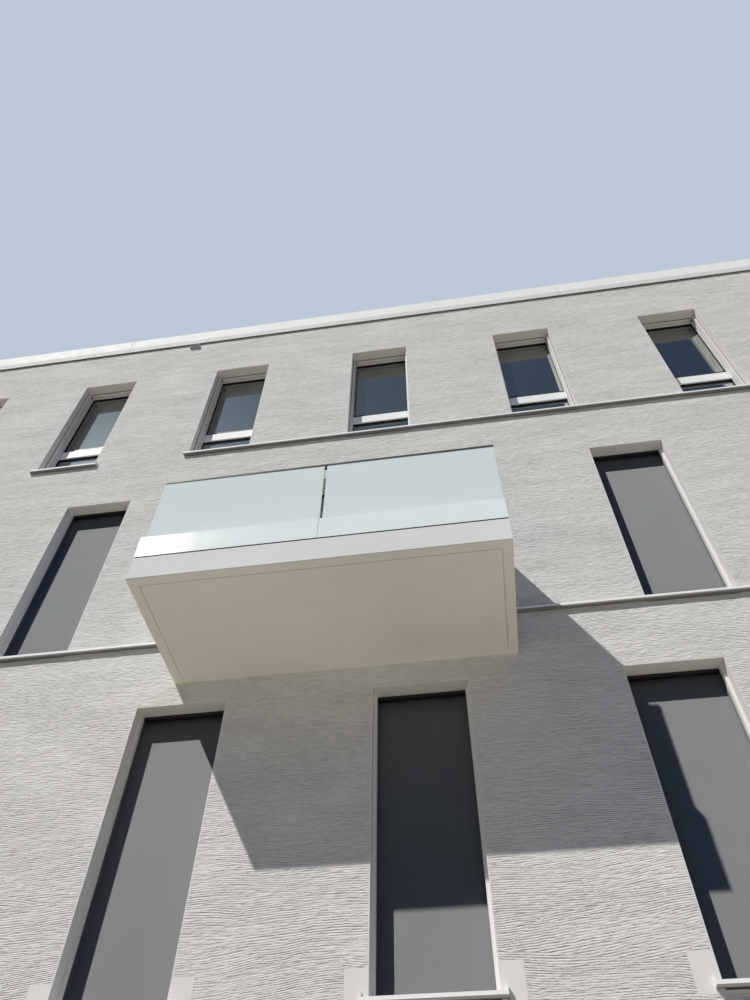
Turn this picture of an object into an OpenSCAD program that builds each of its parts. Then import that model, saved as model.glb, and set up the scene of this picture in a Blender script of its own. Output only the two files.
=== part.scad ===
// Apartment block with four storeys: rendered masonry walls between two plain
// party walls, tall narrow windows in rows that step sideways from storey to
// storey, textile sun screens, a cantilevered glass balcony and a flat roof
// behind a sheet-metal coping. Millimetres, +Z up, the front looks along -Y.
// The origin lies on the ground under the middle of the overall size.

/* [Block] */
// Window bays along the front
bays = 6; // [3:1:8]
// Distance between the windows of a row, centre to centre
bay_pitch = 2000; // [1600:50:2600]
// Sideways step of the second and third window rows
row_step = 360; // [0:10:500]
// Wall beside the outermost windows
end_margin = 755; // [450:5:1200]
// Height from floor to floor
storey_height = 3000; // [2850:10:3400]
// Depth from the front face to the back face
block_depth = 10000; // [6000:100:14000]
// Height of the ground floor over the ground
plinth = 150; // [100:10:600]

/* [Walls and floors] */
// Thickness of the front and back walls
wall_t = 400; // [340:10:500]
// Thickness of the two party walls
party_t = 250; // [200:10:350]
// Thickness of the floor slabs
slab_t = 220; // [160:10:300]
// Thickness of the roof slab
roof_t = 250; // [180:10:320]

/* [Windows] */
// Width of a window opening
opening_w = 770; // [600:10:1100]
// Height of the window heads over the floor
head_height = 2500; // [2200:10:2600]
// Height of the sills over the floor on the ground and first storeys
low_sill = 260; // [100:5:900]
// Height of the sill band over the floor on the second storey
band_sill = 205; // [100:5:900]
// Height of the sill course over the floor on the third storey
top_sill = 350; // [100:5:900]
// Depth of the window frame behind the wall face
frame_set_back = 226; // [210:2:260]
// Depth of a window frame from front to back
frame_depth = 72; // [60:2:90]
// Face width of the fixed frame
frame_face = 60; // [55:1:80]
// Part of the frame's face that the jambs and the head cover
frame_cover = 48; // [0:1:50]
// Step from the frame's face back to the panes
glass_step = 4; // [1:1:20]
// Face width of the sash behind its pane
sash_face = 40; // [20:1:80]
// Height of the transom over the floor
transom_at = 1020; // [800:2:1400]
// Face height of the transom
transom_h = 120; // [50:2:140]
// Width of the balcony door with two leaves
door_w = 1800; // [1500:50:2000]
// Width of the post between the two leaves
door_post = 44; // [30:2:80]
// Distance from the guard bar's front back to the window frame
guard_bar_in = 36; // [24:1:36]
// Thickness of the guard bar from front to back
guard_bar_t = 18; // [8:1:20]
// Height of the guard bar's upper edge over the floor
guard_bar_top = 1052; // [900:2:1200]
// Face height of the guard bar
guard_bar_h = 148; // [60:2:200]
// Width of the shadow gap between the guide linings and the frame
lining_gap = 16; // [4:1:30]
// Thickness of the double glazing
glazing_t = 24; // [16:1:44]

/* [Sills] */
// Height of a sill's front edge
sill_t = 50; // [30:1:80]
// Reach of a sill in front of the wall
sill_out = 45; // [20:1:90]
// Reach of a single sill beyond its opening at each end
sill_ear = 45; // [20:1:100]
// Fall of a sill from the window frame to its front edge
sill_fall = 12; // [0:1:20]
// Height of the end caps over a sill
cap_h = 22; // [10:1:40]
// Thickness of the end caps
cap_t = 6; // [3:1:10]
// Height of the drip lip under a sill's front edge
drip_h = 8; // [4:1:15]

/* [Sun screens] */
// Distance from the cloth's middle back to the window frame
screen_in = 50; // [50:1:60]
// Play between the cloth and each side of its slot
slot_play = 1; // [0.5:0.5:5]
// Thickness of the guide linings on the jambs and the head
lining_t = 24; // [8:1:28]
// Width of the lining in front of the cloth
lining_w = 38; // [30:1:40]
// Depth of the guide rails' front edge behind the wall face
rail_at = 90; // [70:1:95]
// Width of the joint between the guide rails and the linings
rail_joint = 8; // [2:1:12]
// Thickness of the screen cloth with its zip edge
cloth_t = 4; // [2:0.5:8]
// Height of the bar along the bottom of a screen
bar_h = 36; // [20:1:60]
// Thickness of the bottom bar
bar_t = 22; // [14:1:26]

/* [Roof edge] */
// Height of the parapet over the roof slab
parapet_h = 750; // [400:10:1100]
// Thickness of the parapet
parapet_t = 250; // [180:10:400]
// Thickness of the roof covering on the slab
covering_t = 250; // [100:10:350]
// Height of the coping's outer face
coping_h = 330; // [150:5:450]
// Reach of the coping in front of the wall face
coping_out = 50; // [30:1:100]
// Height of the coping over the parapet at its outer edge
coping_top = 50; // [30:1:90]
// Fall of the coping toward the roof
coping_fall = 25; // [5:1:28]
// Height of the bend at the coping's lower edge
coping_bend = 85; // [30:1:120]
// Height of the coping's inner leg
coping_leg = 90; // [50:1:150]
// Step of the coping's inner leg behind the parapet
coping_in = 30; // [20:1:50]
// Thickness of the coping sheet
sheet_t = 10; // [4:1:15]
// Distance between the joints of the coping
coping_joint = 4800; // [1500:50:6000]
// Distance of the first joint from the coping's left end
coping_first = 3150; // [300:10:4800]
// Width of the overflow spout under the coping
spout_w = 150; // [100:5:400]
// Height of the overflow spout
spout_h = 62; // [50:1:150]
// Reach of the overflow spout in front of the wall
spout_out = 45; // [30:1:200]
// Height of the spout over the roof covering
spout_rise = 98; // [0:1:110]
// Place of the spout along the front
spout_x = -2260; // [-5000:5:5000]

/* [Balcony] */
// Reach of the balcony in front of the wall
balcony_out = 1247; // [900:5:1600]
// Reach of the balcony beyond its door at each side
balcony_margin = 567; // [300:1:700]
// Thickness of the balcony slab
balcony_t = 238; // [180:1:300]
// Step from the room's floor down to the balcony's floor
balcony_drop = 37; // [10:1:100]
// Height of the channel that holds the guard glass
channel_h = 250; // [120:1:300]
// Thickness of the channel from front to back
channel_t = 110; // [80:1:150]
// Depth of the glass behind the channel's face
glass_in = 62; // [40:1:70]
// Thickness of the laminated guard glass
guard_glass_t = 21; // [12:1:30]
// Height of the guard over the balcony's floor
guard_h = 1082; // [900:1:1200]
// Gap between the two front panes
pane_gap = 24; // [8:1:40]
// Height of the cap rail on the glass
rail_h = 26; // [20:1:60]
// Thickness of the cap rail
rail_t = 32; // [28:1:60]
// Height of the shadow joint between the slab and the channel
joint_h = 14; // [4:1:20]
// Depth of the shadow joint behind the channel's face
joint_in = 16; // [6:1:20]
// Distance of the drip groove from the slab's edges
groove_in = 78; // [40:1:150]
// Width and depth of the drip groove
groove_w = 8; // [6:1:25]

/* [Hidden] */
$fn = 24;
eps = 1;
fit = 0.3;

storeys = 4;
block_w = (bays - 1) * bay_pitch + 2 * row_step + opening_w + 2 * end_margin;
// The middle of the overall depth lies on y = 0
y_front = -block_depth / 2 + (balcony_out - coping_out) / 2;
y_back = y_front + block_depth;
wall_top = plinth + storeys * storey_height;
parapet_top = wall_top + parapet_h;
spout_z = wall_top + covering_t + spout_rise;
// The balcony door takes the place of this bay's window and the next one's
balcony_bay = floor(bays / 2) - 1;
threshold_t = 30;
threshold_out = 20;
// The glass reaches this far up into the groove of the cap rail
rail_seat = 14;
// The foot of the guard glass stands this high over the balcony's floor
glass_foot = 60;
// The glass has half of this as play in the channel's groove
glass_play = 4;
// The part of a coping's reach that its lower bend takes
bend_share = 0.45;
// The sheet's inner face turns this much higher than its outer face
fold = 2;
// Width and twice the depth of the grooves at the coping's joints
coping_groove = 8;
// No joint comes nearer than this to the coping's right end
coping_rest = 200;
// Height of the taper over a screen's bottom bar
bar_taper = 8;
// The drip groove ends this far in front of the wall
groove_end = 60;
// Gap between the front panes and the side panes
corner_gap = 8;
// Gap between the guard's ends and the sill band
guard_gap = 5;
// Thickness of the spout's sheet
spout_t = 4;
// The cap rail's bevel
rail_bevel = 7;

function floor_z(r) = plinth + r * storey_height;
function row_x(r) = [0, 0, 1, -1][r] * row_step;
function bay_x(r, k) = row_x(r) + (k - (bays - 1) / 2) * bay_pitch;
function plain_sill(r) = floor_z(r) + [low_sill, low_sill, band_sill, top_sill][r];
function head_z(r) = floor_z(r) + head_height;

balcony_x = (bay_x(2, balcony_bay) + bay_x(2, balcony_bay + 1)) / 2;
balcony_w = door_w + 2 * balcony_margin;
balcony_floor = floor_z(2) - balcony_drop;
channel_top = balcony_floor + channel_h;
guard_top = balcony_floor + guard_h;
frame_sight = frame_face - frame_cover;
pane_front = frame_set_back + glass_step;
screen_at = frame_set_back - screen_in;

// Openings of a row, each with its place, its width and whether it is the door
function windows(r, front) = [for (k = [0:bays - 1])
  if (!front || r != 2 || (k != balcony_bay && k != balcony_bay + 1))
    [bay_x(r, k), opening_w, false]];
function openings(r, front) =
  concat(windows(r, front), front && r == 2 ? [[balcony_x, door_w, true]] : []);
function foot_z(r, o) = o[2] ? floor_z(r) + threshold_t : plain_sill(r);

// On the front, y = 0 is the wall face and +y goes into the wall
module on_front() { translate([0, y_front, 0]) children(); }
module on_back() { translate([0, y_back, 0]) rotate([0, 0, 180]) children(); }

// A block between two x, two y and two z values
module block(x, y, z) {
  translate([x[0], y[0], z[0]]) cube([x[1] - x[0], y[1] - y[0], z[1] - z[0]]);
}

// A profile of depth and height, run along x
module run_x(x0, x1) {
  translate([x0, 0, 0]) rotate([90, 0, 90]) linear_extrude(x1 - x0) children();
}

// An upright ring in the wall plane, drawn as width and height
module upright(y0, y1) {
  translate([0, y1, 0]) rotate([90, 0, 0]) linear_extrude(y1 - y0) children();
}

// Walls: one storey each, with the openings cut right through. The jambs and
// the head stand in front of the window frame, so the opening widens behind them
module storey_wall(r, front) {
  top = r == storeys - 1 ? wall_top : floor_z(r + 1);
  bottom = r == 0 ? 0 : floor_z(r);
  difference() {
    block([-block_w / 2, block_w / 2], [0, wall_t], [bottom, top]);
    for (o = openings(r, front)) translate([o[0], 0, 0]) {
      low = o[2] ? floor_z(r) - eps : plain_sill(r) - sill_t;
      upright(-eps, wall_t + eps) opening_outline(o, low, head_z(r), 0);
      upright(frame_set_back, wall_t + eps) opening_outline(o, low, head_z(r), frame_cover);
    }
  }
}

// The outline of an opening, wider and higher by what the wall covers
module opening_outline(o, low, high, cover) {
  translate([-o[1] / 2 - cover, low]) square([o[1] + 2 * cover, high - low + cover]);
}

// Floors between the walls
module floor_plate(z0, z1) {
  block([-block_w / 2 + party_t, block_w / 2 - party_t],
    [y_front + wall_t, y_back - wall_t], [z0, z1]);
}

module party_wall(side) {
  x = side * block_w / 2;
  block([min(x, x - side * party_t), max(x, x - side * party_t)],
    [y_front + wall_t, y_back - wall_t], [0, wall_top]);
}

// Window: a fixed frame whose sight edge is narrow, and panes that lap over
// the sash behind them. The door has two leaves and no transom
function leaves(o) = o[2] ? 2 : 1;
function leaf_w(o) = (o[1] - 2 * frame_sight - (leaves(o) - 1) * door_post) / leaves(o);
function leaf_x(o, j) = (j - (leaves(o) - 1) / 2) * (leaf_w(o) + door_post);
function pane_top(r) = floor_z(r) + transom_at;
function sash_low(r, o) = o[2] ? foot_z(r, o) + frame_sight : pane_top(r) + transom_h;

module sash_fields(r, o, margin) {
  z0 = sash_low(r, o) + margin;
  for (j = [0:leaves(o) - 1]) translate([leaf_x(o, j) - leaf_w(o) / 2 + margin, z0])
    square([leaf_w(o) - 2 * margin, head_z(r) - frame_sight - margin - z0]);
}

module lower_field(r, o) {
  z0 = foot_z(r, o) + frame_sight;
  if (!o[2]) translate([-leaf_w(o) / 2, z0]) square([leaf_w(o), pane_top(r) - z0]);
}

module window_frame(r, o) {
  low = foot_z(r, o) - (o[2] ? threshold_t : sill_t);
  upright(frame_set_back, frame_set_back + frame_depth) difference() {
    opening_outline(o, low, head_z(r), frame_cover);
    lower_field(r, o);
    sash_fields(r, o, 0);
  }
  upright(pane_front + glazing_t, frame_set_back + frame_depth) difference() {
    sash_fields(r, o, 0);
    sash_fields(r, o, sash_face);
  }
}

module window_glass(r, o) {
  upright(pane_front, pane_front + glazing_t) {
    lower_field(r, o);
    sash_fields(r, o, 0);
  }
}

// Flat bar across a window against falling out, held at its two ends
module guard_bar(r, reach) {
  top = floor_z(r) + guard_bar_top;
  y = frame_set_back - guard_bar_in;
  block([-reach, reach], [y, y + guard_bar_t], [top - guard_bar_h, top]);
}

// Draws what follows at each opening of a row, with the opening as $o
module at_openings(list) {
  for ($o = list) translate([$o[0], 0, 0]) children();
}

module front_frames(r) {
  color("DimGray") on_front() at_openings(openings(r, true)) window_frame(r, $o);
}

module front_glass(r) {
  color("LightSteelBlue") on_front() at_openings(openings(r, true)) window_glass(r, $o);
}

// Sills: folded sheet with a fall, a front edge and a drip lip
module sill_profile(y1) {
  rise = sill_fall / (sill_out + frame_set_back);
  polygon([[-sill_out, -sill_t], [-sill_out, -sill_fall],
    [y1, -sill_fall + rise * (y1 + sill_out)], [y1, -sill_t + drip_h],
    [-sill_out + drip_h, -sill_t + drip_h], [-sill_out + drip_h, -sill_t]]);
}

module sill_in_opening(x, z) {
  translate([x, 0, z]) run_x(-opening_w / 2, opening_w / 2) sill_profile(frame_set_back);
}

module single_sill(x, z) {
  reach = opening_w / 2 + sill_ear;
  sill_in_opening(x, z);
  translate([x, 0, z]) {
    run_x(-reach, reach) sill_profile(0);
    for (s = [-1, 1]) block([min(s * reach, s * (reach - cap_t)), max(s * reach, s * (reach - cap_t))],
      [-sill_out, 0], [-sill_t, cap_h]);
  }
}

module single_sills(r) {
  for (k = [0:bays - 1]) single_sill(bay_x(r, k), plain_sill(r));
}

// The band stops at the balcony door
module band_run(x0, x1) {
  translate([0, 0, plain_sill(2)]) run_x(x0, x1) sill_profile(0);
}

// Sun screens: guide rails on the two jambs, linings in front of and behind the
// cloth's slot, cloth and bottom bar
module guide_pair(r, o) {
  foot = foot_z(r, o);
  slot = cloth_t / 2 + slot_play;
  for (y = [[screen_at - lining_w, screen_at - slot], [screen_at + slot, frame_set_back - lining_gap]])
    upright(y[0], y[1]) guide_outline(o, foot, head_z(r), lining_t);
  upright(rail_at, screen_at - lining_w - rail_joint) guide_outline(o, foot, head_z(r), 0);
}

// The outline of a guide along the two jambs and, where head_t isn't 0, the head
module guide_outline(o, foot, head, head_t) {
  difference() {
    opening_outline(o, foot, head, 0);
    opening_outline([0, o[1] - 2 * lining_t], foot - eps, head_t > 0 ? head - head_t : head + eps, 0);
  }
}

module screen(r, o) {
  foot = foot_z(r, o);
  w = o[1] / 2;
  c = cloth_t / 2;
  block([-w + fit, w - fit], [screen_at - c, screen_at + c], [foot + bar_h / 2, head_z(r) - fit]);
  translate([0, screen_at, foot + fit]) run_x(-w + lining_t + fit, w - lining_t - fit)
    polygon([[-bar_t / 2, 0], [bar_t / 2, 0], [bar_t / 2, bar_h - bar_taper],
      [c + eps, bar_h], [-c - eps, bar_h], [-bar_t / 2, bar_h - bar_taper]]);
}

// The screens are drawn closed, except at the balcony door and on the top storey
module screens(r) {
  color("SlateGray") on_front() at_openings(windows(r, true)) screen(r, $o);
}

// Coping: a fascia bent inward at its foot, a top with a fall and an inner leg
module coping_profile(out) {
  t = sheet_t;
  z1 = coping_top;
  z2 = coping_top - coping_fall;
  low = coping_top - coping_h;
  leg = coping_leg;
  inner = parapet_t + coping_in;
  bend = out * bend_share;
  polygon(out > 0
    ? [[-out, low + coping_bend], [-out, z1], [inner, z2], [inner, -leg], [inner - t, -leg],
       [inner - t, 0], [-out + t, 0], [-out + t, low + coping_bend + fold],
       [-out + bend + t, low], [-out + bend, low]]
    : [[0, 0], [0, z1], [inner, z2], [inner, -leg], [inner - t, -leg], [inner - t, 0]]);
}

// Each run shows narrow grooves where two lengths of sheet meet
module coping_run() {
  first = -block_w / 2 + coping_first;
  half = coping_groove / 2;
  translate([0, 0, parapet_top]) difference() {
    run_x(-block_w / 2, block_w / 2) coping_profile(coping_out);
    for (x = [first:coping_joint:block_w / 2 - coping_rest]) run_x(x - half, x + half)
      difference() {
        offset(delta = eps) coping_profile(coping_out);
        offset(delta = -half) coping_profile(coping_out);
      }
  }
}

// Balcony: everything is drawn in front of the wall face, toward -y
guard_back = -sill_out - guard_gap;
glass_mid = glass_in + guard_glass_t / 2;

// A U in plan: a front and two sides that end just before the sill band
module guard_run(inset, t, z0, z1) {
  w = balcony_w / 2 - inset;
  translate([balcony_x, 0, z0]) linear_extrude(z1 - z0) difference() {
    translate([-w, -balcony_out + inset]) square([2 * w, balcony_out - inset + guard_back]);
    translate([-w + t, -balcony_out + inset + t])
      square([2 * (w - t), balcony_out - inset - t + guard_back + eps]);
  }
}

// A strip of thickness t along the glass: the front spans the whole width and
// the sides butt against it
module glass_line(t, z0, z1, over) {
  w = balcony_w / 2;
  front = -balcony_out + glass_mid;
  translate([balcony_x, 0, 0]) {
    block([-w - over, w + over], [front - t / 2, front + t / 2], [z0, z1]);
    for (s = [-1, 1]) translate([s * (w - glass_mid), 0, 0])
      block([-t / 2, t / 2], [front, guard_back + over], [z0, z1]);
  }
}

module ground_slab() { color("Gray") floor_plate(0, plinth); }
module first_floor_slab() { color("Silver") floor_plate(floor_z(1) - slab_t, floor_z(1)); }
module second_floor_slab() { color("Silver") floor_plate(floor_z(2) - slab_t, floor_z(2)); }
module third_floor_slab() { color("Silver") floor_plate(floor_z(3) - slab_t, floor_z(3)); }
module roof_slab() { color("Silver") floor_plate(wall_top - roof_t, wall_top); }

module roof_covering() {
  color("DimGray") block([-block_w / 2 + parapet_t, block_w / 2 - parapet_t],
    [y_front + parapet_t, y_back - parapet_t], [wall_top, wall_top + covering_t]);
}

module left_party_wall() { color("Gainsboro") party_wall(-1); }
module right_party_wall() { color("Gainsboro") party_wall(1); }
module front_wall_ground() { color("Gainsboro") on_front() storey_wall(0, true); }
module front_wall_first() { color("WhiteSmoke") on_front() storey_wall(1, true); }
module front_wall_second() { color("Gainsboro") on_front() storey_wall(2, true); }
module front_wall_third() { color("WhiteSmoke") on_front() storey_wall(3, true); }
module back_wall_ground() { color("Gainsboro") on_back() storey_wall(0, false); }
module back_wall_first() { color("WhiteSmoke") on_back() storey_wall(1, false); }
module back_wall_second() { color("Gainsboro") on_back() storey_wall(2, false); }
module back_wall_third() { color("WhiteSmoke") on_back() storey_wall(3, false); }

module spout_cut(grow) {
  translate([spout_x, 0, spout_z])
    block([-spout_w / 2 - grow, spout_w / 2 + grow], [-spout_out, parapet_t + eps],
      [-grow, spout_h + grow]);
}

module parapet() {
  color("WhiteSmoke") difference() {
    block([-block_w / 2, block_w / 2], [y_front, y_back], [wall_top, parapet_top]);
    block([-block_w / 2 + parapet_t, block_w / 2 - parapet_t],
      [y_front + parapet_t, y_back - parapet_t], [wall_top - eps, parapet_top + eps]);
    on_front() spout_cut(0);
  }
}

module coping_front() { color("White") on_front() coping_run(); }
module coping_back() { color("White") on_back() coping_run(); }

module coping_sides() {
  color("White") for (s = [0, 180]) rotate([0, 0, s])
    translate([-block_w / 2, 0, parapet_top]) rotate([0, 0, -90])
      run_x(-side_end(s, 0), side_end(s, 1)) coping_profile(0);
}

// The side copings end against the inner legs of the front and back copings
function side_end(s, e) =
  let (front = -y_front - parapet_t - coping_in, back = y_back - parapet_t - coping_in)
  (s == 0) == (e == 0) ? back : front;

module overflow_spout() {
  color("Silver") on_front() translate([spout_x, 0, spout_z])
    upright(-spout_out, parapet_t) difference() {
      translate([-spout_w / 2, 0]) square([spout_w, spout_h]);
      translate([-spout_w / 2 + spout_t, spout_t])
        square([spout_w - 2 * spout_t, spout_h - 2 * spout_t]);
    }
}

module ground_sills() { color("White") on_front() single_sills(0); }
module first_sills() { color("White") on_front() single_sills(1); }

module second_sill_band() {
  color("White") on_front() {
    band_run(-block_w / 2, balcony_x - door_w / 2);
    band_run(balcony_x + door_w / 2, block_w / 2);
    at_openings(windows(2, true)) sill_in_opening(0, plain_sill(2));
    translate([balcony_x, 0, 0]) block([-door_w / 2, door_w / 2], [-threshold_out, frame_set_back],
      [floor_z(2), floor_z(2) + threshold_t]);
  }
}

// The course begins at the third window of its row; the first two have their own sills
module third_sill_course() {
  color("White") on_front() {
    translate([0, 0, plain_sill(3)])
      run_x(bay_x(3, 2) - opening_w / 2 - sill_ear, block_w / 2) sill_profile(0);
    for (k = [2:bays - 1]) sill_in_opening(bay_x(3, k), plain_sill(3));
    for (k = [0, 1]) single_sill(bay_x(3, k), plain_sill(3));
  }
}

module back_sills() { color("White") on_back() for (r = [0:storeys - 1]) single_sills(r); }
module ground_window_frames() { front_frames(0); }
module first_window_frames() { front_frames(1); }
module second_window_frames() { front_frames(2); }
module third_window_frames() { front_frames(3); }

module back_window_frames() {
  color("DimGray") on_back() for (r = [0:storeys - 1])
    at_openings(openings(r, false)) window_frame(r, $o);
}

module ground_window_glass() { front_glass(0); }
module first_window_glass() { front_glass(1); }
module second_window_glass() { front_glass(2); }
module third_window_glass() { front_glass(3); }

module back_window_glass() {
  color("LightSteelBlue") on_back() for (r = [0:storeys - 1])
    at_openings(openings(r, false)) window_glass(r, $o);
}

// On the front the bars end at the guide linings, on the back at the jambs
module guard_bars() {
  color("White") for (r = [0:storeys - 1]) {
    on_front() at_openings(windows(r, true)) guard_bar(r, $o[1] / 2 - lining_t - fit);
    on_back() at_openings(windows(r, false)) guard_bar(r, $o[1] / 2 - fit);
  }
}

module screen_guides() {
  color("Silver") on_front() for (r = [0:storeys - 1])
    at_openings(openings(r, true)) guide_pair(r, $o);
}

module ground_screens() { screens(0); }
module first_screens() { screens(1); }
module second_screens() { screens(2); }

module balcony_slab() {
  w = balcony_w / 2;
  color("Tan") on_front() translate([balcony_x, 0, 0]) difference() {
    block([-w, w], [-balcony_out, 0], [balcony_floor - balcony_t, balcony_floor]);
    // Drip groove round the front and the two sides of the soffit
    translate([0, 0, balcony_floor - balcony_t - eps]) linear_extrude(groove_w + eps)
      difference() {
        translate([-w + groove_in, -balcony_out + groove_in])
          square([2 * (w - groove_in), balcony_out - groove_in - groove_end]);
        translate([-w + groove_in + groove_w, -balcony_out + groove_in + groove_w])
          square([2 * (w - groove_in - groove_w), balcony_out - groove_in - groove_w]);
      }
  }
}

module balcony_channel() {
  color("White") on_front() difference() {
    union() {
      guard_run(joint_in, channel_t - 2 * joint_in, balcony_floor, balcony_floor + joint_h);
      guard_run(0, channel_t, balcony_floor + joint_h, channel_top);
    }
    glass_line(guard_glass_t + glass_play, balcony_floor + glass_foot, channel_top + eps, eps);
  }
}

module guard_glass(x0, x1, y0, y1) {
  translate([balcony_x, 0, 0]) block([x0, x1], [y0, y1],
    [balcony_floor + glass_foot, guard_top - rail_h + rail_seat]);
}

module balcony_front_glass() {
  w = balcony_w / 2 - 1;
  y = -balcony_out + glass_in;
  color("PaleTurquoise") on_front() {
    guard_glass(-w, -pane_gap / 2, y, y + guard_glass_t);
    guard_glass(pane_gap / 2, w, y, y + guard_glass_t);
  }
}

module balcony_side_glass() {
  w = balcony_w / 2 - glass_in;
  y = -balcony_out + glass_in + guard_glass_t + corner_gap;
  color("PaleTurquoise") on_front() {
    guard_glass(-w, -w + guard_glass_t, y, guard_back - glass_play);
    guard_glass(w - guard_glass_t, w, y, guard_back - glass_play);
  }
}

// Cap rail: a bar with bevelled top edges and a groove that sits on the glass
module rail_profile() {
  r = rail_t / 2;
  b = rail_bevel;
  polygon([[-r, 0], [r, 0], [r, rail_h - b], [r - b, rail_h], [-r + b, rail_h], [-r, rail_h - b]]);
}

module balcony_rail() {
  w = balcony_w / 2;
  front = -balcony_out + glass_mid;
  low = guard_top - rail_h;
  color("Silver") on_front() difference() {
    translate([balcony_x, 0, low]) {
      translate([0, front, 0]) run_x(-w, w) rail_profile();
      for (s = [-1, 1]) translate([s * (w - glass_mid), 0, 0]) rotate([0, 0, 90])
        run_x(front, guard_back) rail_profile();
    }
    glass_line(guard_glass_t + 1, low - eps, low + rail_seat, eps);
  }
}

ground_slab();
first_floor_slab();
second_floor_slab();
third_floor_slab();
roof_slab();
roof_covering();
left_party_wall();
right_party_wall();
front_wall_ground();
front_wall_first();
front_wall_second();
front_wall_third();
back_wall_ground();
back_wall_first();
back_wall_second();
back_wall_third();
parapet();
coping_front();
coping_back();
coping_sides();
overflow_spout();
ground_sills();
first_sills();
second_sill_band();
third_sill_course();
back_sills();
ground_window_frames();
first_window_frames();
second_window_frames();
third_window_frames();
back_window_frames();
ground_window_glass();
first_window_glass();
second_window_glass();
third_window_glass();
back_window_glass();
guard_bars();
screen_guides();
ground_screens();
first_screens();
second_screens();
balcony_slab();
balcony_channel();
balcony_front_glass();
balcony_side_glass();
balcony_rail();
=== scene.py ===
import math
import bmesh
import bpy
from mathutils import Matrix, Vector


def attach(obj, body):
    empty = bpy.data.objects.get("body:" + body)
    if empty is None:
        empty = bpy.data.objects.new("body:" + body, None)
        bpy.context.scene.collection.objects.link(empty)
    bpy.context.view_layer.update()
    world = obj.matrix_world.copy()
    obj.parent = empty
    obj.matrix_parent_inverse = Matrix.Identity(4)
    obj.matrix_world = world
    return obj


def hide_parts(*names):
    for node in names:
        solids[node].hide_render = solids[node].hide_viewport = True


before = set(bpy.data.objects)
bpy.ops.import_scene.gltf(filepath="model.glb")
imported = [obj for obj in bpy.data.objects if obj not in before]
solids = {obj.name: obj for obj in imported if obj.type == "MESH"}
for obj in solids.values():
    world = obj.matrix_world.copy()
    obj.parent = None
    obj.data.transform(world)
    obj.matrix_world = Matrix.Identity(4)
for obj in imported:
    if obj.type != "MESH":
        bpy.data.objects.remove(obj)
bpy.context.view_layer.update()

# Camera, floor and light. The camera stands close in front of the block and looks
# steeply up, with the sun high on the left behind it. A weak lamp from the rear and
# a pale floor light the sides that the photograph does not show.
eye = bpy.data.objects.new("camera", bpy.data.cameras.new("camera"))
bpy.context.scene.collection.objects.link(eye)
bpy.context.scene.camera = eye
eye_place = (1.402, -9.3765, 1.656)
frame_height, focal_pixels = 1000, 766.05
eye.data.sensor_width = 36
eye.data.lens = focal_pixels / frame_height * eye.data.sensor_width
turn, look_up, lean = (math.radians(a) for a in (9.022, 52.176, -0.81))
eye.matrix_world = (Matrix.Translation(eye_place)
                    @ Matrix.Rotation(turn, 4, "Z") @ Matrix.Rotation(look_up, 4, "X")
                    @ Matrix.Rotation(lean, 4, "Y") @ Matrix.Rotation(math.pi / 2, 4, "X"))

sun_way = Vector((0.407, 0.546, -0.734)).normalized()
rear_way = Vector((-0.5, -0.6, -0.62)).normalized()
for name, way, strength, angle, tint in (("sun", sun_way, 3.5, 0.6, (1, 0.965, 0.9)),
                                         ("rear_fill", rear_way, 0.9, 25, (0.93, 0.96, 1))):
    lamp = bpy.data.lights.new(name, "SUN")
    lamp.energy, lamp.angle, lamp.color = strength, math.radians(angle), tint
    holder = bpy.data.objects.new(name, lamp)
    holder.rotation_mode = "QUATERNION"
    holder.rotation_quaternion = way.to_track_quat("-Z", "Y")
    bpy.context.scene.collection.objects.link(holder)
bpy.context.scene.view_settings.view_transform = "Standard"


def node(tree, kind, sockets=None, **settings):
    """One shader node; sockets take a value or what is joined to them."""
    made = tree.nodes.new("ShaderNode" + kind)
    for name, value in settings.items():
        setattr(made, name, value)
    for name, value in (sockets or {}).items():
        if isinstance(value, bpy.types.NodeSocket):
            tree.links.new(value, made.inputs[name])
        else:
            made.inputs[name].default_value = value
    return made


def maths(tree, operation, *values):
    """The outcome of one sum, product or comparison."""
    return node(tree, "Math", dict(enumerate(values)), operation=operation).outputs[0]


def blend_of(tree, share, low, high):
    """A colour between low and high."""
    mixed = node(tree, "Mix", {0: share, 6: low, 7: high}, data_type="RGBA")
    return mixed.outputs[2]


sky = bpy.data.worlds.new("studio_sky")
bpy.context.scene.world = sky
sky.use_nodes = True
air = sky.node_tree
air.nodes.clear()
rays = node(air, "LightPath")
seen = node(air, "TexCoord").outputs["Generated"]
toward_sun = node(air, "VectorMath", {0: seen, 1: tuple(-sun_way)}, operation="DOT_PRODUCT")
near_sun = maths(air, "MAXIMUM", toward_sun.outputs["Value"], 0.0)
wide, close, halo = (maths(air, "MULTIPLY", maths(air, "POWER", near_sun, power), strength)
                     for power, strength in ((6.0, 0.15), (60.0, 0.42), (300.0, 0.6)))
glow = maths(air, "ADD", maths(air, "ADD", close, halo), wide)
mirrored = blend_of(air, glow, (0.039, 0.074, 0.16, 1), (1.25, 1.5, 1.62, 1))
for_gloss = blend_of(air, rays.outputs["Is Singular Ray"], (0.012, 0.02, 0.045, 1), mirrored)
for_matt = blend_of(air, rays.outputs["Is Glossy Ray"], (0.035, 0.085, 0.2, 1), for_gloss)
for_eye = blend_of(air, rays.outputs["Is Camera Ray"], for_matt, (0.5, 0.58, 0.68, 1))
light = node(air, "Background", {"Color": for_eye, "Strength": 1.0})
node(air, "OutputWorld", {"Surface": light.outputs[0]})


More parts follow.
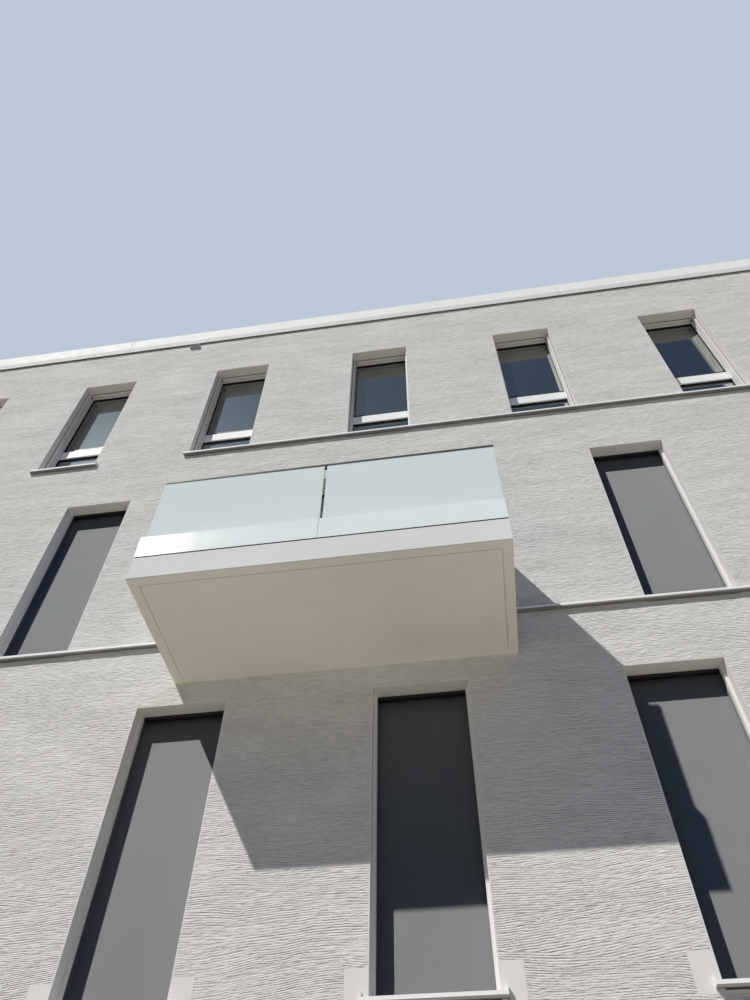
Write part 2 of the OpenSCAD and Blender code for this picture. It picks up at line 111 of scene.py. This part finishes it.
def finish(name, base, roughness, bump=None, **uniform):
    """A material with one Principled shader; uniform values go straight to its sockets."""
    material = bpy.data.materials.new(name)
    material.use_nodes = True
    tree = material.node_tree
    tree.nodes.clear()
    sockets = {"Base Color": base(tree) if callable(base) else base,
               "Roughness": roughness(tree) if callable(roughness) else roughness}
    if bump:
        height, distance = bump
        raised = node(tree, "Bump", {"Strength": 1.0, "Distance": distance, "Height": height(tree)})
        sockets["Normal"] = raised.outputs[0]
    sockets.update({key.replace("_", " "): value for key, value in uniform.items()})
    surface = node(tree, "BsdfPrincipled", sockets)
    node(tree, "OutputMaterial", {"Surface": surface.outputs[0]})
    return material


def here(tree):
    """The place on the object, in metres."""
    return node(tree, "TexCoord").outputs["Object"]


def stretched(tree, scale, detail=2.0, roughness=0.5, offset=(0, 0, 0)):
    """Noise over the object's place, scaled differently along x, y and z."""
    placed = node(tree, "Mapping", {"Vector": here(tree), "Scale": scale, "Location": offset})
    return node(tree, "TexNoise", {"Vector": placed.outputs[0], "Scale": 1.0, "Detail": detail,
                                   "Roughness": roughness}).outputs["Fac"]


floor_mesh = bmesh.new()
bmesh.ops.create_grid(floor_mesh, x_segments=1, y_segments=1, size=150)
floor_data = bpy.data.meshes.new("floor")
floor_mesh.to_mesh(floor_data)
floor_mesh.free()
floor = bpy.data.objects.new("floor", floor_data)
bpy.context.scene.collection.objects.link(floor)


def floor_colour(tree):
    """Pale to look at; the light that it bounces is a little dimmer."""
    bounce = blend_of(tree, stretched(tree, (0.4, 0.4, 0.4)), (0.43, 0.39, 0.315, 1),
                      (0.45, 0.41, 0.335, 1))
    looked_at = node(tree, "LightPath").outputs["Is Camera Ray"]
    return blend_of(tree, looked_at, bounce, (0.66, 0.65, 0.62, 1))


floor_data.materials.append(finish("studio_floor", floor_colour, 0.8))

# Floors and roof slab: plates of cast concrete between the walls, mottled and full
# of small pores. By day the coated panes hide them.


def coat(names, material):
    """Gives CAD nodes their material."""
    for name in names:
        slots = solids[name].data.materials
        slots.clear()
        slots.append(material)


concrete = finish(
    "cast_concrete",
    lambda t: blend_of(t, stretched(t, (1.1, 1.1, 1.1), 5.0, 0.6),
                       (0.30, 0.29, 0.27, 1), (0.46, 0.45, 0.42, 1)),
    0.85,
    (lambda t: stretched(t, (60, 60, 60), 3.0), 0.002))
coat(["ground_slab", "first_floor_slab", "second_floor_slab", "third_floor_slab",
      "roof_slab"], concrete)

# Party walls: smooth mineral render on masonry, the plain ends of the block. The
# render is trowelled, with faint clouds from drying and dust toward the ground.


def span(tree, value, low, high, to_low=0.0, to_high=1.0):
    """A value brought from one range to another."""
    return node(tree, "MapRange", {"Value": value, "From Min": low, "From Max": high,
                                   "To Min": to_low, "To Max": to_high}).outputs[0]


def weathering():
    """Clouds from drying, runs down the wall, and dust near the ground."""
    group = bpy.data.node_groups.new("weathering", "ShaderNodeTree")
    socket = group.interface.new_socket
    for name, value in (("Clouds", 0.05), ("Runs", 0.03), ("Dust", 0.10)):
        socket(name, in_out="INPUT", socket_type="NodeSocketFloat").default_value = value
    socket("Shade", in_out="OUTPUT", socket_type="NodeSocketFloat")
    given = group.nodes.new("NodeGroupInput").outputs
    clouds = span(group, stretched(group, (0.9, 0.9, 1.6), 4.0, 0.6), 0.35, 0.65)
    runs = span(group, stretched(group, (9, 9, 0.35), 3.0, 0.55, (3, 5, 7)), 0.5, 0.75)
    height = node(group, "SeparateXYZ", {0: here(group)}).outputs["Z"]
    low = span(group, height, 0.0, 0.7, 1.0, 0.0)
    dust = maths(group, "MULTIPLY", low, stretched(group, (3, 3, 5), 4.0, 0.6))
    shade = 1.0
    for part, name in ((clouds, "Clouds"), (runs, "Runs"), (dust, "Dust")):
        shade = maths(group, "SUBTRACT", shade, maths(group, "MULTIPLY", part, given[name]))
    out = group.nodes.new("NodeGroupOutput")
    group.links.new(shade, out.inputs["Shade"])
    return group


weather = weathering()


def weathered(tree, colour, **amounts):
    """A colour darkened by the weathering."""
    worn = node(tree, "Group", amounts, node_tree=weather).outputs["Shade"]
    return blend_of(tree, worn, (0, 0, 0, 1), colour)


plaster_white = (0.775, 0.765, 0.745, 1)
trowelled = finish(
    "trowelled_plaster", lambda t: weathered(t, plaster_white), 0.9,
    (lambda t: stretched(t, (35, 35, 35), 5.0, 0.6), 0.0015))
coat(["left_party_wall", "right_party_wall"], trowelled)

# Front and back walls and parapet: masonry with white render, combed by hand in
# long wavy strokes. The reveals, a strip along the edges of the openings and a
# patch beside each single sill are trowelled smooth.
comb_pitch, stroke_tilt, stroke_sweep, stroke_wobble = 0.0148, 0.22, 0.22, 0.03
tooth_height, torn_height, flake_height, broad_height = 0.57, 0.55, 0.52, 0.22
flake_tone, broad_tone = 0.11, 0.05
front_face, wall_reach = -4.4015, 5.0
wall_middle = front_face + wall_reach
window_spacing, row_reach, half_opening = 2.0, 6.0, 0.385
whole_row = range(6)
window_rows = {"ground": (0.41, 2.65, 0.0, whole_row), "first": (3.41, 5.65, 0.0, whole_row),
               "second": (6.355, 8.65, 0.36, (0, 1, 4, 5)), "third": (9.5, 11.65, -0.36, whole_row)}
trim_width, trim_smoothness = 0.010, 0.7
patch_half, patch_middle, patch_reach = 0.535, 0.045, 0.115
door_bay = 1.5


def combing():
    """Height and shade of the combed strokes; Smooth takes the strokes away."""
    group = bpy.data.node_groups.new("combing", "ShaderNodeTree")
    group.interface.new_socket("Smooth", in_out="INPUT", socket_type="NodeSocketFloat")
    group.interface.new_socket("Height", in_out="OUTPUT", socket_type="NodeSocketFloat")
    group.interface.new_socket("Shade", in_out="OUTPUT", socket_type="NodeSocketFloat")
    given = group.nodes.new("NodeGroupInput").outputs
    place = node(group, "SeparateXYZ", {0: here(group)}).outputs
    stroke_size = (0.9, 0.9, 4.2)
    spread = node(group, "Mapping", {"Vector": here(group), "Scale": stroke_size})
    stroke = node(group, "TexVoronoi", {"Vector": spread.outputs[0], "Scale": 1.0,
                                        "Randomness": 0.9}).outputs
    hand = node(group, "SeparateColor", {0: stroke["Color"]}).outputs
    centre = node(group, "SeparateXYZ", {0: stroke["Position"]}).outputs["X"]
    from_centre = maths(group, "SUBTRACT", place["X"],
                        maths(group, "DIVIDE", centre, stroke_size[0]))
    tilt = maths(group, "MULTIPLY", maths(group, "SUBTRACT", hand[0], 0.5), stroke_tilt)
    leaning = maths(group, "MULTIPLY", tilt, from_centre)
    sweep = maths(group, "MULTIPLY", stretched(group, (0.75, 0.75, 1.3), 1.0), stroke_sweep)
    wobble = maths(group, "MULTIPLY", stretched(group, (3.5, 3.5, 6.0), 2.0), stroke_wobble)
    along = maths(group, "ADD", maths(group, "ADD", place["Z"], sweep),
                  maths(group, "ADD", wobble, leaning))
    tooth = maths(group, "POWER", maths(group, "ABSOLUTE", maths(
        group, "SINE", maths(group, "MULTIPLY", along, math.pi / comb_pitch))), 0.7)
    lines = node(group, "CombineXYZ", {"X": maths(group, "MULTIPLY", place["X"], 3.0),
                                       "Y": maths(group, "MULTIPLY", hand[1], 7.0),
                                       "Z": maths(group, "MULTIPLY", along, 90.0)}).outputs[0]
    torn = node(group, "TexNoise", {"Vector": lines, "Scale": 1.0, "Detail": 2.0}).outputs["Fac"]
    press = span(group, stretched(group, (1.5, 1.5, 5.0), 3.0, 0.6, (11, 0, 4)), 0.34, 0.6)
    strokes = maths(group, "ADD", maths(group, "MULTIPLY", tooth, tooth_height),
                    maths(group, "MULTIPLY", torn, torn_height))
    combed = maths(group, "MULTIPLY", strokes, span(group, press, 0, 1, 0.3, 1.0))
    flakes = span(group, stretched(group, (12, 12, 55), 3.0, 0.6, (2, 0, 9)), 0.42, 0.66)
    broad = span(group, stretched(group, (2.6, 2.6, 15.0), 4.0, 0.6, (5, 0, 2)), 0.38, 0.68)
    uneven = maths(group, "ADD", maths(group, "MULTIPLY", flakes, flake_height),
                   maths(group, "MULTIPLY", broad, broad_height))
    combed = maths(group, "ADD", combed, uneven)
    face = maths(group, "GREATER_THAN", maths(
        group, "ABSOLUTE", maths(group, "SUBTRACT", place["Y"], wall_middle)), wall_reach - 0.003)
    rough_part = maths(group, "MULTIPLY", face, maths(group, "SUBTRACT", 1.0, given["Smooth"]))
    grain = maths(group, "MULTIPLY", stretched(group, (90, 90, 90), 3.0), 0.07)
    height = maths(group, "ADD", maths(group, "MULTIPLY", combed, rough_part), grain)
    darker = maths(group, "ADD", maths(group, "MULTIPLY", flakes, flake_tone),
                   maths(group, "MULTIPLY", broad, broad_tone))
    shade = maths(group, "SUBTRACT", 1.0, maths(group, "MULTIPLY", darker, rough_part))
    out = group.nodes.new("NodeGroupOutput")
    group.links.new(height, out.inputs["Height"])
    group.links.new(shade, out.inputs["Shade"])
    return group


comb = combing()


def combed_plaster(name, foot=0.0, head=0.0, step=0.0, patches=False, door=False):
    """Combed render of one storey: its windows' feet, heads and sideways step, whether
    it has smooth patches beside the sills, and whether a door takes two windows' place."""
    def smooth_part(tree):
        place = node(tree, "SeparateXYZ", {0: here(tree)}).outputs
        facing = maths(tree, "SIGN", maths(tree, "SUBTRACT", wall_middle, place["Y"]))
        across = maths(tree, "SUBTRACT", maths(tree, "MULTIPLY", place["X"], facing), step)
        beside = maths(tree, "ABSOLUTE", maths(tree, "SUBTRACT", maths(
            tree, "FLOORED_MODULO", across, window_spacing), window_spacing / 2))
        in_row = maths(tree, "COMPARE", across, 0.0, row_reach)
        if door:
            at_door = maths(tree, "MULTIPLY", maths(tree, "COMPARE", across, 0.0, door_bay),
                            maths(tree, "MAXIMUM", facing, 0.0))
            in_row = maths(tree, "SUBTRACT", in_row, at_door)
        trim = maths(tree, "MULTIPLY", in_row, maths(
            tree, "LESS_THAN", beside, half_opening + trim_width))
        middle, reach = (foot + head) / 2, (head - foot) / 2 + trim_width
        trim = maths(tree, "MULTIPLY", maths(tree, "MULTIPLY", trim, trim_smoothness),
                     maths(tree, "COMPARE", place["Z"], middle, reach))
        if not patches:
            return trim
        patch = maths(tree, "MULTIPLY", maths(tree, "LESS_THAN", beside, patch_half),
                      maths(tree, "COMPARE", place["Z"], foot + patch_middle, patch_reach))
        return maths(tree, "MAXIMUM", trim, maths(tree, "MULTIPLY", patch, in_row))

    def combed(tree, output):
        smooth = smooth_part(tree) if head else 0.0
        return node(tree, "Group", {"Smooth": smooth}, node_tree=comb).outputs[output]

    def colour(tree):
        worn = node(tree, "Group", {"Clouds": 0.05, "Runs": 0.02, "Dust": 0.12},
                    node_tree=weather).outputs["Shade"]
        both = maths(tree, "MULTIPLY", worn, combed(tree, "Shade"))
        return blend_of(tree, both, (0, 0, 0, 1), plaster_white)
    return finish(name, colour, 0.92, (lambda t: combed(t, "Height"), 0.0078))


for storey, (foot, head, step, bays) in window_rows.items():
    plaster = combed_plaster(f"combed_plaster_{storey}", foot, head, step,
                             storey in ("ground", "first"), storey == "second")
    coat([f"front_wall_{storey}", f"back_wall_{storey}"], plaster)
coat(["parapet"], combed_plaster("combed_plaster_parapet"))

# Roof covering: grey bitumen sheet over insulation, rolled out in strips from front
# to back and welded along the overlaps.
strip_width, overlap, overlap_tone = 1.0, 0.10, 0.75


def overlaps(tree):
    across = maths(tree, "FLOORED_MODULO", node(
        tree, "SeparateXYZ", {0: here(tree)}).outputs["X"], strip_width)
    return maths(tree, "LESS_THAN", across, overlap)


def sheet_colour(tree):
    mottled = span(tree, stretched(tree, (2, 2, 2), 6.0, 0.7), 0.3, 0.7)
    darker = maths(tree, "MULTIPLY", overlaps(tree), overlap_tone)
    share = maths(tree, "MULTIPLY", mottled, maths(tree, "SUBTRACT", 1.0, darker))
    return blend_of(tree, share, (0.085, 0.09, 0.095, 1), (0.21, 0.21, 0.205, 1))


def sheet_relief(tree):
    grit = maths(tree, "MULTIPLY", stretched(tree, (220, 220, 220)), 0.5)
    return maths(tree, "ADD", overlaps(tree), grit)


coat(["roof_covering"], finish("roof_sheet", sheet_colour, 0.9, (sheet_relief, 0.004)))

# Coping: folded aluminium sheet with a white baked coat, laid in lengths over the
# parapet. Its underside is painted dark as painted shade, and rain leaves faint runs on the fascia.


def facing_down(tree):
    """A mask of the undersides."""
    normal = node(tree, "NewGeometry").outputs["Normal"]
    return maths(tree, "LESS_THAN", node(tree, "SeparateXYZ", {0: normal}).outputs["Z"], -0.5)


def baked_coat(name, colour, roughness=0.38, runs=0.05, shade_or_joint_part=None, dark=(0.1, 0.1, 0.1, 1),
               gloss=0.3):
    """Baked paint; the dark part's mask is painted in the dark colour: painted shade on the coping
    and sills, a dark joint on the channel.
    """
    def tone(tree):
        coated = weathered(tree, colour, Clouds=0.03, Runs=runs, Dust=0.0)
        return blend_of(tree, shade_or_joint_part(tree), coated, dark) if shade_or_joint_part else coated
    return finish(name, tone,
                  lambda t: span(t, stretched(t, (6, 6, 6), 3.0), 0.3, 0.7,
                                 roughness - 0.05, roughness + 0.07),
                  (lambda t: stretched(t, (2.2, 2.2, 2.2), 2.0), 0.0012),
                  Specular_IOR_Level=gloss)


# The undersides take the dark colour: painted shade under the coping's lip.
coping_white = baked_coat("coping_coat", (0.90, 0.91, 0.905, 1), 0.6, 0.05, facing_down,
                          (0.16, 0.155, 0.15, 1), 0.15)
coat(["coping_front", "coping_back", "coping_sides"], coping_white)

# Overflow spout: a short open box of folded sheet, put through the parapet above
# the roof covering. Its grey coat is streaked by the water that it carries.
coat(["overflow_spout"], baked_coat("spout_coat", (0.36, 0.37, 0.38, 1), 0.45, 0.15))

# Sills: folded aluminium, coated white, each screwed to the frame and closed with
# end caps. On the upper storeys the front edge runs on as a band. The underside
# and the lower half of the front edge are painted dark: painted shade under the sill.
shaded_lip_middle, shaded_lip_reach = 0.043, 0.0085


# Mask of painted shade: the sills' undersides and the lower half of their front edge.
def painted_sill_shade(tree):
    height = node(tree, "SeparateXYZ", {0: here(tree)}).outputs["Z"]
    share = facing_down(tree)
    for top, head, step, bays in window_rows.values():
        lower_half = maths(tree, "COMPARE", height, top - shaded_lip_middle, shaded_lip_reach)
        share = maths(tree, "MAXIMUM", share, lower_half)
    return share


# The dark colour is painted shade on the sills' undersides and lower front edges.
sill_white = baked_coat("sill_coat", (0.92, 0.92, 0.915, 1), 0.6, 0.04, painted_sill_shade,
                        (0.24, 0.24, 0.235, 1), 0.15)
coat(["ground_sills", "first_sills", "second_sill_band", "third_sill_course",
      "back_sills"], sill_white)

# Window frames: dark grey aluminium, screwed into the rebate of each opening. The
# wall laps over their edge and the panes over their sashes, so that little shows.
coat(["ground_window_frames", "first_window_frames", "second_window_frames",
      "third_window_frames", "back_window_frames"],
     baked_coat("frame_coat", (0.028, 0.03, 0.033, 1), 0.4, 0.1))

# Gaskets: black rubber between the window frame and the guide linings, pressed in
# on both jambs and the head. Their near-black also darkens the shadow gap there: partly painted
# shade.
gasket_depths, gasket_width, foot_gap = (0.2102, 0.2258), 0.0225, 0.002
first_window = -5.0
balcony_middle, door_half, door_foot, door_head = 0.36, 0.9, 6.18, 8.65
front_openings = [(first_window + step + window_spacing * k, half_opening, foot, head)
                  for foot, head, step, bays in window_rows.values() for k in bays]
front_openings.append((balcony_middle, door_half, door_foot, door_head))


def strip(mesh, x, y, z, soft=0.0, segments=1):
    """Adds a bar between two x, two y and two z values, its edges softened."""
    made = bmesh.ops.create_cube(mesh, size=1)["verts"]
    bmesh.ops.scale(mesh, verts=made, vec=[abs(side[1] - side[0]) for side in (x, y, z)])
    bmesh.ops.translate(mesh, verts=made, vec=[sum(side) / 2 for side in (x, y, z)])
    if soft:
        edges = list({edge for vert in made for edge in vert.link_edges})
        bmesh.ops.bevel(mesh, geom=edges, offset=soft, affect="EDGES", segments=segments,
                        profile=0.5, material=-1)


def object_from(mesh, name, material):
    """A piece of the block from a finished mesh, in its material."""
    data = bpy.data.meshes.new(name)
    mesh.to_mesh(data)
    mesh.free()
    data.materials.append(material)
    piece = bpy.data.objects.new(name, data)
    bpy.context.scene.collection.objects.link(piece)
    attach(piece, "root")
    return piece


def deep(depths):
    """Depths behind the wall face, as places."""
    return [front_face + depth for depth in depths]


# Near-black rubber; in the gaskets, the guide joints and over drawn screens' heads it also stands
# for shade: partly painted shade.
rubber_and_painted_shade = finish(
    "black_rubber_and_painted_shade",
    lambda t: blend_of(t, stretched(t, (5, 5, 5), 3.0), (0.004, 0.004, 0.0045, 1),
                       (0.010, 0.010, 0.011, 1)),
    0.6, (lambda t: stretched(t, (60, 60, 60), 2.0), 0.0005))
mesh = bmesh.new()
for x, half, foot, head in front_openings:
    strip(mesh, (x - half, x + half), deep(gasket_depths), (head - gasket_width, head), 0.002)
    for side in (-1, 1):
        strip(mesh, (x + side * (half - gasket_width), x + side * half), deep(gasket_depths),
              (foot + foot_gap, head - gasket_width - 0.0005), 0.002)
object_from(mesh, "window_gaskets_and_gap_shade", rubber_and_painted_shade)

# Panes: double glazing bonded on the sashes, so that it hides them. Its sun-control
# coat makes it a dark mirror from outside.
pane = finish(
    "window_pane",
    lambda t: blend_of(t, stretched(t, (0.7, 0.7, 0.7)), (0.012, 0.018, 0.022, 1),
                       (0.02, 0.028, 0.032, 1)),
    0.0, (lambda t: stretched(t, (1.1, 1.1, 1.1), 1.0), 0.0006), IOR=3.3)
coat(["ground_window_glass", "first_window_glass", "second_window_glass",
      "third_window_glass", "back_window_glass"], pane)

# Guard bars: a flat aluminium bar, coated white, across each window at transom
# height, held by two screws at each end, in the lining or, at the back, the jamb.
guard_coat = baked_coat("guard_bar_coat", (0.87, 0.91, 0.92, 1), 0.5, 0.03, gloss=0.15)
coat(["guard_bars"], guard_coat)
floors = {"ground": 0.15, "first": 3.15, "second": 6.15, "third": 9.15}
screw_rises, screw_depth = (0.93, 1.022), 0.1888
front_inset, back_inset = 0.044, 0.02


def screw_on(mesh, x, z, back):
    """Adds the head of one screw on a guard bar."""
    made = bmesh.ops.create_cone(mesh, cap_ends=True, segments=10, radius1=0.007,
                                 radius2=0.0055, depth=0.003)["verts"]
    bmesh.ops.rotate(mesh, verts=made, matrix=Matrix.Rotation(math.pi / 2, 3, "X"))
    bmesh.ops.translate(mesh, verts=made, vec=(x, front_face + screw_depth, z))
    if back:
        bmesh.ops.rotate(mesh, verts=made, cent=(0, wall_middle, 0),
                         matrix=Matrix.Rotation(math.pi, 3, "Z"))


mesh = bmesh.new()
for name, (foot, head, step, bays) in window_rows.items():
    for back in (False, True):
        reach = half_opening - (back_inset if back else front_inset)
        for k in whole_row if back else bays:
            x = first_window + step + window_spacing * k
            for side in (-1, 1):
                for rise in screw_rises:
                    screw_on(mesh, x + side * reach, floors[name] + rise, back)
object_from(mesh, "guard_bar_screws", baked_coat("screw_head", (0.30, 0.31, 0.32, 1), 0.35))

# Screen guides: folded aluminium linings on the jambs and the head, with the slot
# that the edge of the screen cloth runs in. Black brush seals close the joint
# to the rails, their black partly painted shade in the joint, and where no screen is down a black
# inlet shows at the slot's top.
# Over a drawn screen, black strips on the head lining are painted shade.
coat(["screen_guides"], baked_coat("guide_coat", (0.80, 0.795, 0.77, 1), 0.5, 0.06, gloss=0.2))
third_foot = window_rows["third"][0]
screened = [each for each in front_openings if each[1] == half_opening and each[2] < third_foot]
unscreened = [each for each in front_openings if each not in screened]
joint_depths, sealant_depths, inlet_depths = (0.1303, 0.1377), (0.0855, 0.0898), (0.1395, 0.1715)
cover_depths, ring_depths = (0.1303, 0.1378), (0.1379, 0.1734)
on_lining, over_lining, ring_inset, end_gap = 0.0242, 0.0262, 0.026, 0.001
head_seal, jamb_seal, sealant_width = 0.006, 0.015, 0.005
inlet_reach, inlet_drop = 0.034, 0.052
mesh = bmesh.new()
# Black strips on the front and underside of the head lining: painted shade at the head.
for x, half, foot, head in screened:
    strip(mesh, (x - half + end_gap, x + half - end_gap), deep(cover_depths),
          (head - over_lining, head), 0.001)
    strip(mesh, (x - half + ring_inset, x + half - ring_inset), deep(ring_depths),
          (head - over_lining, head - on_lining), 0.0005)
# Joint strips, partly seals and partly painted shade, then corner sealant and black inlets.
for x, half, foot, head in unscreened:
    strip(mesh, (x - half + end_gap, x + half - end_gap), deep(joint_depths),
          (head - head_seal, head), 0.001)
    for side in (-1, 1):
        jamb = x + side * half
        strip(mesh, (jamb - side * jamb_seal, jamb), deep(joint_depths),
              (foot + foot_gap, head - head_seal - end_gap), 0.001)
        strip(mesh, (jamb - side * sealant_width, jamb), deep(sealant_depths),
              (foot + foot_gap, head - end_gap), 0.001)
        strip(mesh, (jamb - side * inlet_reach, jamb - side * on_lining), deep(inlet_depths),
              (head - inlet_drop, head - on_lining), 0.002)
object_from(mesh, "guide_seals_and_painted_shade", rubber_and_painted_shade)

# Sun screens: coated glass-fibre cloth with threads that lie like louvres, drawn
# down in the guide slots and held taut by a bottom bar of extruded aluminium.
# Strips of the same cloth are bonded over the front of the guides beside it.
cloth_mid = front_face + 0.176
thread_pitch, thread_lean = 0.0022, 2.4
cloth_rise, cloth_clearance, cloth_thickness, wave_height = 0.018, 0.0005, 0.001, 0.0009
bar_end_gap, bar_half_depth, bar_foot, bar_top = 0.0247, 0.011, 0.0008, 0.0358


def cloth_weave():
    """A plain weave: the height of warp and weft threads at a place on the cloth."""
    group = bpy.data.node_groups.new("cloth_weave", "ShaderNodeTree")
    group.interface.new_socket("Thread", in_out="INPUT", socket_type="NodeSocketFloat")
    group.interface.new_socket("Height", in_out="OUTPUT", socket_type="NodeSocketFloat")
    given = group.nodes.new("NodeGroupInput").outputs
    place = node(group, "SeparateXYZ", {0: here(group)}).outputs
    waves = [maths(group, "ABSOLUTE", maths(group, "SINE", maths(
        group, "DIVIDE", maths(group, "MULTIPLY", place[axis], math.pi), given["Thread"])))
        for axis in "XZ"]
    out = group.nodes.new("NodeGroupOutput")
    group.links.new(maths(group, "MULTIPLY", *waves), out.inputs["Height"])
    return group


weave = cloth_weave()


def cloth_relief(tree):
    threads = node(tree, "Group", {"Thread": thread_pitch}, node_tree=weave).outputs["Height"]
    slack = maths(tree, "MULTIPLY", stretched(tree, (3, 3, 0.7), 2.0), 6.0)
    return maths(tree, "ADD", threads, slack)


def louvred_cloth():
    """The screens' material: the shading follows the upward lean of the threads."""
    material = finish(
        "screen_cloth",
        lambda t: blend_of(t, stretched(t, (1.6, 1.6, 0.8), 5.0, 0.6), (0.29, 0.304, 0.312, 1),
                           (0.33, 0.344, 0.352, 1)),
        lambda t: span(t, stretched(t, (3, 3, 3), 4.0), 0.3, 0.7, 0.80, 0.88),
        (cloth_relief, 0.0003), Specular_IOR_Level=0.02)
    tree = material.node_tree
    flat = node(tree, "NewGeometry").outputs["Normal"]
    raised = node(tree, "VectorMath", {0: flat, 1: (0, 0, thread_lean)}, operation="ADD")
    leaning = node(tree, "VectorMath", {0: raised.outputs[0]}, operation="NORMALIZE")
    bump = next(n for n in tree.nodes if n.bl_idname == "ShaderNodeBump")
    tree.links.new(leaning.outputs[0], bump.inputs["Normal"])
    return material


screen_cloth = louvred_cloth()
mesh = bmesh.new()
for x, half, foot, head in screened:
    for side in (-1, 1):
        jamb = x + side * half
        strip(mesh, (jamb - side * over_lining, jamb), deep(cover_depths),
              (foot + foot_gap, head - over_lining - 0.0002), 0.0006)
        strip(mesh, (jamb - side * over_lining, jamb - side * on_lining), deep(ring_depths),
              (foot + foot_gap, head - over_lining - 0.0002), 0.0005)
object_from(mesh, "screen_edge_tapes", screen_cloth)
bar_coat = baked_coat("screen_bar_coat", (0.07, 0.075, 0.08, 1), 0.5, 0.05)
for row in ("ground", "first", "second"):
    foot, head, step, bays = window_rows[row]
    for number, k in enumerate(bays, 1):
        x = first_window + step + window_spacing * k
        low, high = foot + cloth_rise, head - cloth_clearance
        width, length = 2 * (half_opening - cloth_clearance), high - low
        mesh = bmesh.new()
        bmesh.ops.create_grid(mesh, x_segments=10, y_segments=30, size=0.5)
        bmesh.ops.rotate(mesh, verts=mesh.verts, matrix=Matrix.Rotation(math.pi / 2, 3, "X"))
        bmesh.ops.scale(mesh, verts=mesh.verts, vec=(width, 1, length))
        bmesh.ops.translate(mesh, verts=mesh.verts, vec=(x, cloth_mid, (low + high) / 2))
        for vert in mesh.verts:
            edge = max(0.0, 1 - ((vert.co.x - x) / (width / 2)) ** 2)
            vert.co.y += wave_height * edge * math.sin(3.1 * vert.co.z + 1.7 * x)
        bmesh.ops.solidify(mesh, geom=mesh.faces[:], thickness=cloth_thickness)
        cloth = object_from(mesh, f"{row}_screen_cloth_{number}", screen_cloth)

        mesh = bmesh.new()
        reach = half_opening - bar_end_gap
        strip(mesh, (x - reach, x + reach), (cloth_mid - bar_half_depth, cloth_mid + bar_half_depth),
              (foot + bar_foot, foot + bar_top), 0.005, 3)
        bar = object_from(mesh, f"{row}_screen_bar_{number}", bar_coat)
        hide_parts(f"{row}_screens")
        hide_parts(f"{row}_screens")

# Balcony slab: a cantilever of cast concrete. Its soffit, with a drip groove, is
# painted warm white, its edges a cooler white with grime along the lower arris.
slab_half, slab_front, slab_foot = 1.467, -5.6485, 5.875
grime_height, skin = 0.008, 0.002


def slab_colour(tree):
    place = node(tree, "SeparateXYZ", {0: here(tree)}).outputs
    sideways = maths(tree, "ABSOLUTE", maths(tree, "SUBTRACT", place["X"], balcony_middle))
    at_edge = maths(tree, "MAXIMUM", maths(tree, "GREATER_THAN", sideways, slab_half - skin),
                    maths(tree, "LESS_THAN", place["Y"], slab_front + skin))
    below = maths(tree, "MAXIMUM", facing_down(tree), maths(tree, "SUBTRACT", 1.0, at_edge))
    grime = maths(tree, "MULTIPLY", maths(tree, "SUBTRACT", 1.0, below), maths(
        tree, "LESS_THAN", place["Z"], slab_foot + grime_height))
    edges = blend_of(tree, grime, (0.74, 0.76, 0.76, 1), (0.25, 0.25, 0.24, 1))
    painted = blend_of(tree, below, edges, (0.87, 0.85, 0.78, 1))
    worn = node(tree, "Group", {"Clouds": 0.07, "Runs": 0.02}, node_tree=weather)
    return blend_of(tree, worn.outputs["Shade"], (0, 0, 0, 1), painted)


slab_paint = finish("balcony_paint", slab_colour, 0.8,
                    (lambda t: stretched(t, (14, 14, 14), 5.0, 0.6), 0.0012),
                    Specular_IOR_Level=0.2)
coat(["balcony_slab"], slab_paint)

# Guard channel: aluminium profile with a white satin coat, bolted on the slab over
# a dark sealing strip. Its two lengths meet under the gap between the front panes.
seal_top, butt_half = 6.1275, 0.0015


def channel_joints(tree):
    place = node(tree, "SeparateXYZ", {0: here(tree)}).outputs
    seal = maths(tree, "LESS_THAN", place["Z"], seal_top)
    butt = maths(tree, "COMPARE", place["X"], balcony_middle, butt_half)
    return maths(tree, "MAXIMUM", seal, butt)


coat(["balcony_channel"], baked_coat("channel_coat", (0.80, 0.89, 0.9, 1), 0.2, 0.02,
                                     channel_joints, (0.08, 0.078, 0.075, 1), 0.035))

# Guard panes: laminated glass with a frosted interlayer, two in front and one on
# each side, standing in the slot of the channel and clamped there.
frosted = finish(
    "frosted_pane",
    lambda t: blend_of(t, stretched(t, (0.9, 0.9, 1.5), 3.0), (0.63, 0.72, 0.735, 1),
                       (0.70, 0.79, 0.795, 1)),
    0.75, (lambda t: stretched(t, (1.2, 1.2, 1.2), 1.0), 0.0006), Specular_IOR_Level=0.06)
coat(["balcony_front_glass", "balcony_side_glass"], frosted)

# Cap rail: a slim bar of brushed metal with bevelled edges, pressed on the glass,
# its near-black colour a painted dark reflection, and a black rubber block below it
# in the gap between the two front panes.
coat(["balcony_rail"], finish(
    "brushed_rail",
    lambda t: blend_of(t, stretched(t, (3, 3, 90), 2.0), (0.05, 0.0525, 0.055, 1),
                       (0.08, 0.083, 0.086, 1)),
    lambda t: span(t, stretched(t, (4, 4, 120), 2.0), 0.3, 0.7, 0.42, 0.55), Metallic=0.25,
    Specular_IOR_Level=0.15))
block_half, block_ahead, block_rise = 0.0115, (-5.5875, -5.5645), (7.135, 7.1685)
mesh = bmesh.new()
strip(mesh, (balcony_middle - block_half, balcony_middle + block_half), block_ahead, block_rise,
      0.002)
object_from(mesh, "pane_gap_block", rubber_and_painted_shade)
